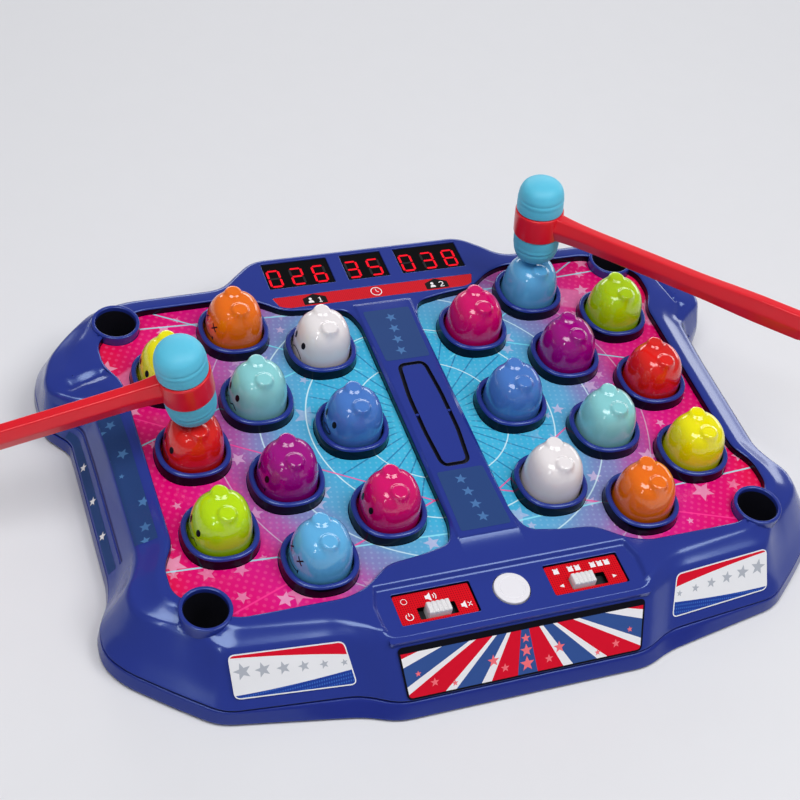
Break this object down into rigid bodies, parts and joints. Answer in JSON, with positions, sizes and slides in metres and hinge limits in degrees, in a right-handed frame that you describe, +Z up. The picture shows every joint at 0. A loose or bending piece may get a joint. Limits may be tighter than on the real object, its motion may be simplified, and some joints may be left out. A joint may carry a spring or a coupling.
{
  "type": "mole pounding game",
  "caption": "Tabletop electronic mole pounding game: wide moulded housing, sprung domed moles in collars, digit display, control deck, corner cups and two soft-headed hammers.",
  "frame": {"origin": "on the housing's flat underside, below the centre of the playing field", "axes": "+X along the long side towards the right-hand player, +Y towards the display, +Z up out of the playing field"},
  "size_m": [0.6747, 0.399, 0.1604],
  "materials": {
    "housing_blue": "glossy moulded ABS",
    "base_blue": "satin moulded ABS",
    "cup_blue": "glossy moulded ABS, black inside",
    "playfield_print": "printed sheet, pink to cyan",
    "mole_yellow": "glossy translucent moulding",
    "mole_red": "glossy translucent moulding",
    "mole_lime": "glossy translucent moulding",
    "mole_orange": "glossy translucent moulding",
    "mole_teal": "glossy translucent moulding",
    "mole_purple": "glossy translucent moulding",
    "mole_light_blue": "glossy translucent moulding",
    "mole_white": "glossy translucent moulding",
    "mole_blue": "glossy translucent moulding",
    "mole_magenta": "glossy translucent moulding",
    "display_black": "smoked lens",
    "strip_red": "printed strip",
    "plate_red": "printed plate",
    "knob_white": "satin moulded knob",
    "button_white": "satin moulded button",
    "label_print": "printed label with stripes and stars",
    "board_green": "circuit board",
    "mat_grey": "silicone rubber",
    "speaker_dark": "frame and magnet",
    "cell_case": "battery sleeve",
    "screw_steel": "plated screw",
    "foot_rubber": "soft rubber",
    "hammer_red": "glossy moulded plastic",
    "hammer_cap_blue": "soft foam rubber"
  },
  "bodies": {
    "housing": {"top_housing": "housing_blue", "bottom_housing": "base_blue", "playfield_left": "playfield_print", "playfield_right": "playfield_print", "cup_back_left": "cup_blue", "cup_back_right": "cup_blue", "cup_front_left": "cup_blue", "cup_front_right": "cup_blue", "key_mat_left": "mat_grey", "key_mat_right": "mat_grey", "mole_board_left": "board_green", "mole_board_right": "board_green", "display_board": "board_green", "display_lens": "display_black", "score_strip": "strip_red", "control_board": "board_green", "sound_plate": "plate_red", "mode_plate": "plate_red", "battery_1": "cell_case", "battery_2": "cell_case", "battery_3": "cell_case", "speaker": "speaker_dark", "foot_back_left": "foot_rubber", "foot_back_right": "foot_rubber", "foot_front_left": "foot_rubber", "foot_front_right": "foot_rubber", "nameplate": "label_print", "front_label_left": "label_print", "front_label_right": "label_print"},
    "mole_left_yellow": {"mole_left_yellow": "mole_yellow"},
    "mole_right_yellow": {"mole_right_yellow": "mole_yellow"},
    "mole_left_red": {"mole_left_red": "mole_red"},
    "mole_right_red": {"mole_right_red": "mole_red"},
    "mole_left_lime": {"mole_left_lime": "mole_lime"},
    "mole_right_lime": {"mole_right_lime": "mole_lime"},
    "mole_left_orange": {"mole_left_orange": "mole_orange"},
    "mole_right_orange": {"mole_right_orange": "mole_orange"},
    "mole_left_teal": {"mole_left_teal": "mole_teal"},
    "mole_right_teal": {"mole_right_teal": "mole_teal"},
    "mole_left_purple": {"mole_left_purple": "mole_purple"},
    "mole_right_purple": {"mole_right_purple": "mole_purple"},
    "mole_left_light_blue": {"mole_left_light_blue": "mole_light_blue"},
    "mole_right_light_blue": {"mole_right_light_blue": "mole_light_blue"},
    "mole_left_white": {"mole_left_white": "mole_white"},
    "mole_right_white": {"mole_right_white": "mole_white"},
    "mole_left_blue": {"mole_left_blue": "mole_blue"},
    "mole_right_blue": {"mole_right_blue": "mole_blue"},
    "mole_left_magenta": {"mole_left_magenta": "mole_magenta"},
    "mole_right_magenta": {"mole_right_magenta": "mole_magenta"},
    "start_button": {"start_button": "button_white"},
    "sound_knob": {"sound_knob": "knob_white"},
    "mode_knob": {"mode_knob": "knob_white"},
    "battery_door": {"battery_door": "base_blue", "door_screw": "screw_steel"},
    "hammer_left": {"hammer_left_handle": "hammer_red", "hammer_left_upper_cap": "hammer_cap_blue", "hammer_left_lower_cap": "hammer_cap_blue"},
    "hammer_right": {"hammer_right_handle": "hammer_red", "hammer_right_upper_cap": "hammer_cap_blue", "hammer_right_lower_cap": "hammer_cap_blue"}
  },
  "joints": [
    {"name": "mole_left_yellow_press", "type": "slide", "parent": "housing", "child": "mole_left_yellow", "axis": [0, 0, -1], "range_m": [0, 0.004], "stiffness_N_per_m": 300, "springref_m": -0.003, "deforming": ["key_mat_left"]},
    {"name": "mole_right_yellow_press", "type": "slide", "parent": "housing", "child": "mole_right_yellow", "axis": [0, 0, -1], "range_m": [0, 0.004], "stiffness_N_per_m": 300, "springref_m": -0.003, "deforming": ["key_mat_right"]},
    {"name": "mole_left_red_press", "type": "slide", "parent": "housing", "child": "mole_left_red", "axis": [0, 0, -1], "range_m": [0, 0.004], "stiffness_N_per_m": 300, "springref_m": -0.003, "deforming": ["key_mat_left"]},
    {"name": "mole_right_red_press", "type": "slide", "parent": "housing", "child": "mole_right_red", "axis": [0, 0, -1], "range_m": [0, 0.004], "stiffness_N_per_m": 300, "springref_m": -0.003, "deforming": ["key_mat_right"]},
    {"name": "mole_left_lime_press", "type": "slide", "parent": "housing", "child": "mole_left_lime", "axis": [0, 0, -1], "range_m": [0, 0.004], "stiffness_N_per_m": 300, "springref_m": -0.003, "deforming": ["key_mat_left"]},
    {"name": "mole_right_lime_press", "type": "slide", "parent": "housing", "child": "mole_right_lime", "axis": [0, 0, -1], "range_m": [0, 0.004], "stiffness_N_per_m": 300, "springref_m": -0.003, "deforming": ["key_mat_right"]},
    {"name": "mole_left_orange_press", "type": "slide", "parent": "housing", "child": "mole_left_orange", "axis": [0, 0, -1], "range_m": [0, 0.004], "stiffness_N_per_m": 300, "springref_m": -0.003, "deforming": ["key_mat_left"]},
    {"name": "mole_right_orange_press", "type": "slide", "parent": "housing", "child": "mole_right_orange", "axis": [0, 0, -1], "range_m": [0, 0.004], "stiffness_N_per_m": 300, "springref_m": -0.003, "deforming": ["key_mat_right"]},
    {"name": "mole_left_teal_press", "type": "slide", "parent": "housing", "child": "mole_left_teal", "axis": [0, 0, -1], "range_m": [0, 0.004], "stiffness_N_per_m": 300, "springref_m": -0.003, "deforming": ["key_mat_left"]},
    {"name": "mole_right_teal_press", "type": "slide", "parent": "housing", "child": "mole_right_teal", "axis": [0, 0, -1], "range_m": [0, 0.004], "stiffness_N_per_m": 300, "springref_m": -0.003, "deforming": ["key_mat_right"]},
    {"name": "mole_left_purple_press", "type": "slide", "parent": "housing", "child": "mole_left_purple", "axis": [0, 0, -1], "range_m": [0, 0.004], "stiffness_N_per_m": 300, "springref_m": -0.003, "deforming": ["key_mat_left"]},
    {"name": "mole_right_purple_press", "type": "slide", "parent": "housing", "child": "mole_right_purple", "axis": [0, 0, -1], "range_m": [0, 0.004], "stiffness_N_per_m": 300, "springref_m": -0.003, "deforming": ["key_mat_right"]},
    {"name": "mole_left_light_blue_press", "type": "slide", "parent": "housing", "child": "mole_left_light_blue", "axis": [0, 0, -1], "range_m": [0, 0.004], "stiffness_N_per_m": 300, "springref_m": -0.003, "deforming": ["key_mat_left"]},
    {"name": "mole_right_light_blue_press", "type": "slide", "parent": "housing", "child": "mole_right_light_blue", "axis": [0, 0, -1], "range_m": [0, 0.004], "stiffness_N_per_m": 300, "springref_m": -0.003, "deforming": ["key_mat_right"]},
    {"name": "mole_left_white_press", "type": "slide", "parent": "housing", "child": "mole_left_white", "axis": [0, 0, -1], "range_m": [0, 0.004], "stiffness_N_per_m": 300, "springref_m": -0.003, "deforming": ["key_mat_left"]},
    {"name": "mole_right_white_press", "type": "slide", "parent": "housing", "child": "mole_right_white", "axis": [0, 0, -1], "range_m": [0, 0.004], "stiffness_N_per_m": 300, "springref_m": -0.003, "deforming": ["key_mat_right"]},
    {"name": "mole_left_blue_press", "type": "slide", "parent": "housing", "child": "mole_left_blue", "axis": [0, 0, -1], "range_m": [0, 0.004], "stiffness_N_per_m": 300, "springref_m": -0.003, "deforming": ["key_mat_left"]},
    {"name": "mole_right_blue_press", "type": "slide", "parent": "housing", "child": "mole_right_blue", "axis": [0, 0, -1], "range_m": [0, 0.004], "stiffness_N_per_m": 300, "springref_m": -0.003, "deforming": ["key_mat_right"]},
    {"name": "mole_left_magenta_press", "type": "slide", "parent": "housing", "child": "mole_left_magenta", "axis": [0, 0, -1], "range_m": [0, 0.004], "stiffness_N_per_m": 300, "springref_m": -0.003, "deforming": ["key_mat_left"]},
    {"name": "mole_right_magenta_press", "type": "slide", "parent": "housing", "child": "mole_right_magenta", "axis": [0, 0, -1], "range_m": [0, 0.004], "stiffness_N_per_m": 300, "springref_m": -0.003, "deforming": ["key_mat_right"]},
    {"name": "start_press", "type": "slide", "parent": "housing", "child": "start_button", "axis": [0, 0, -1], "range_m": [0, 0.002], "stiffness_N_per_m": 500, "springref_m": -0.001},
    {"name": "sound_switch", "type": "slide", "parent": "housing", "child": "sound_knob", "axis": [1, 0, 0], "range_m": [-0.0048, 0.0048]},
    {"name": "mode_switch", "type": "slide", "parent": "housing", "child": "mode_knob", "axis": [1, 0, 0], "range_m": [0, 0.0096]},
    {"name": "battery_door_hinge", "type": "hinge", "parent": "housing", "child": "battery_door", "pos_m": [-0.04636, 0.0106, 0], "axis": [0, -1, 0], "range_deg": [0, 90]},
    {"name": "hammer_left_lift", "type": "slide", "parent": "housing", "child": "hammer_left", "axis": [0, 0, 1], "range_m": [0, 0.12]},
    {"name": "hammer_right_lift", "type": "slide", "parent": "housing", "child": "hammer_right", "axis": [0, 0, 1], "range_m": [0, 0.12]}
  ]
}
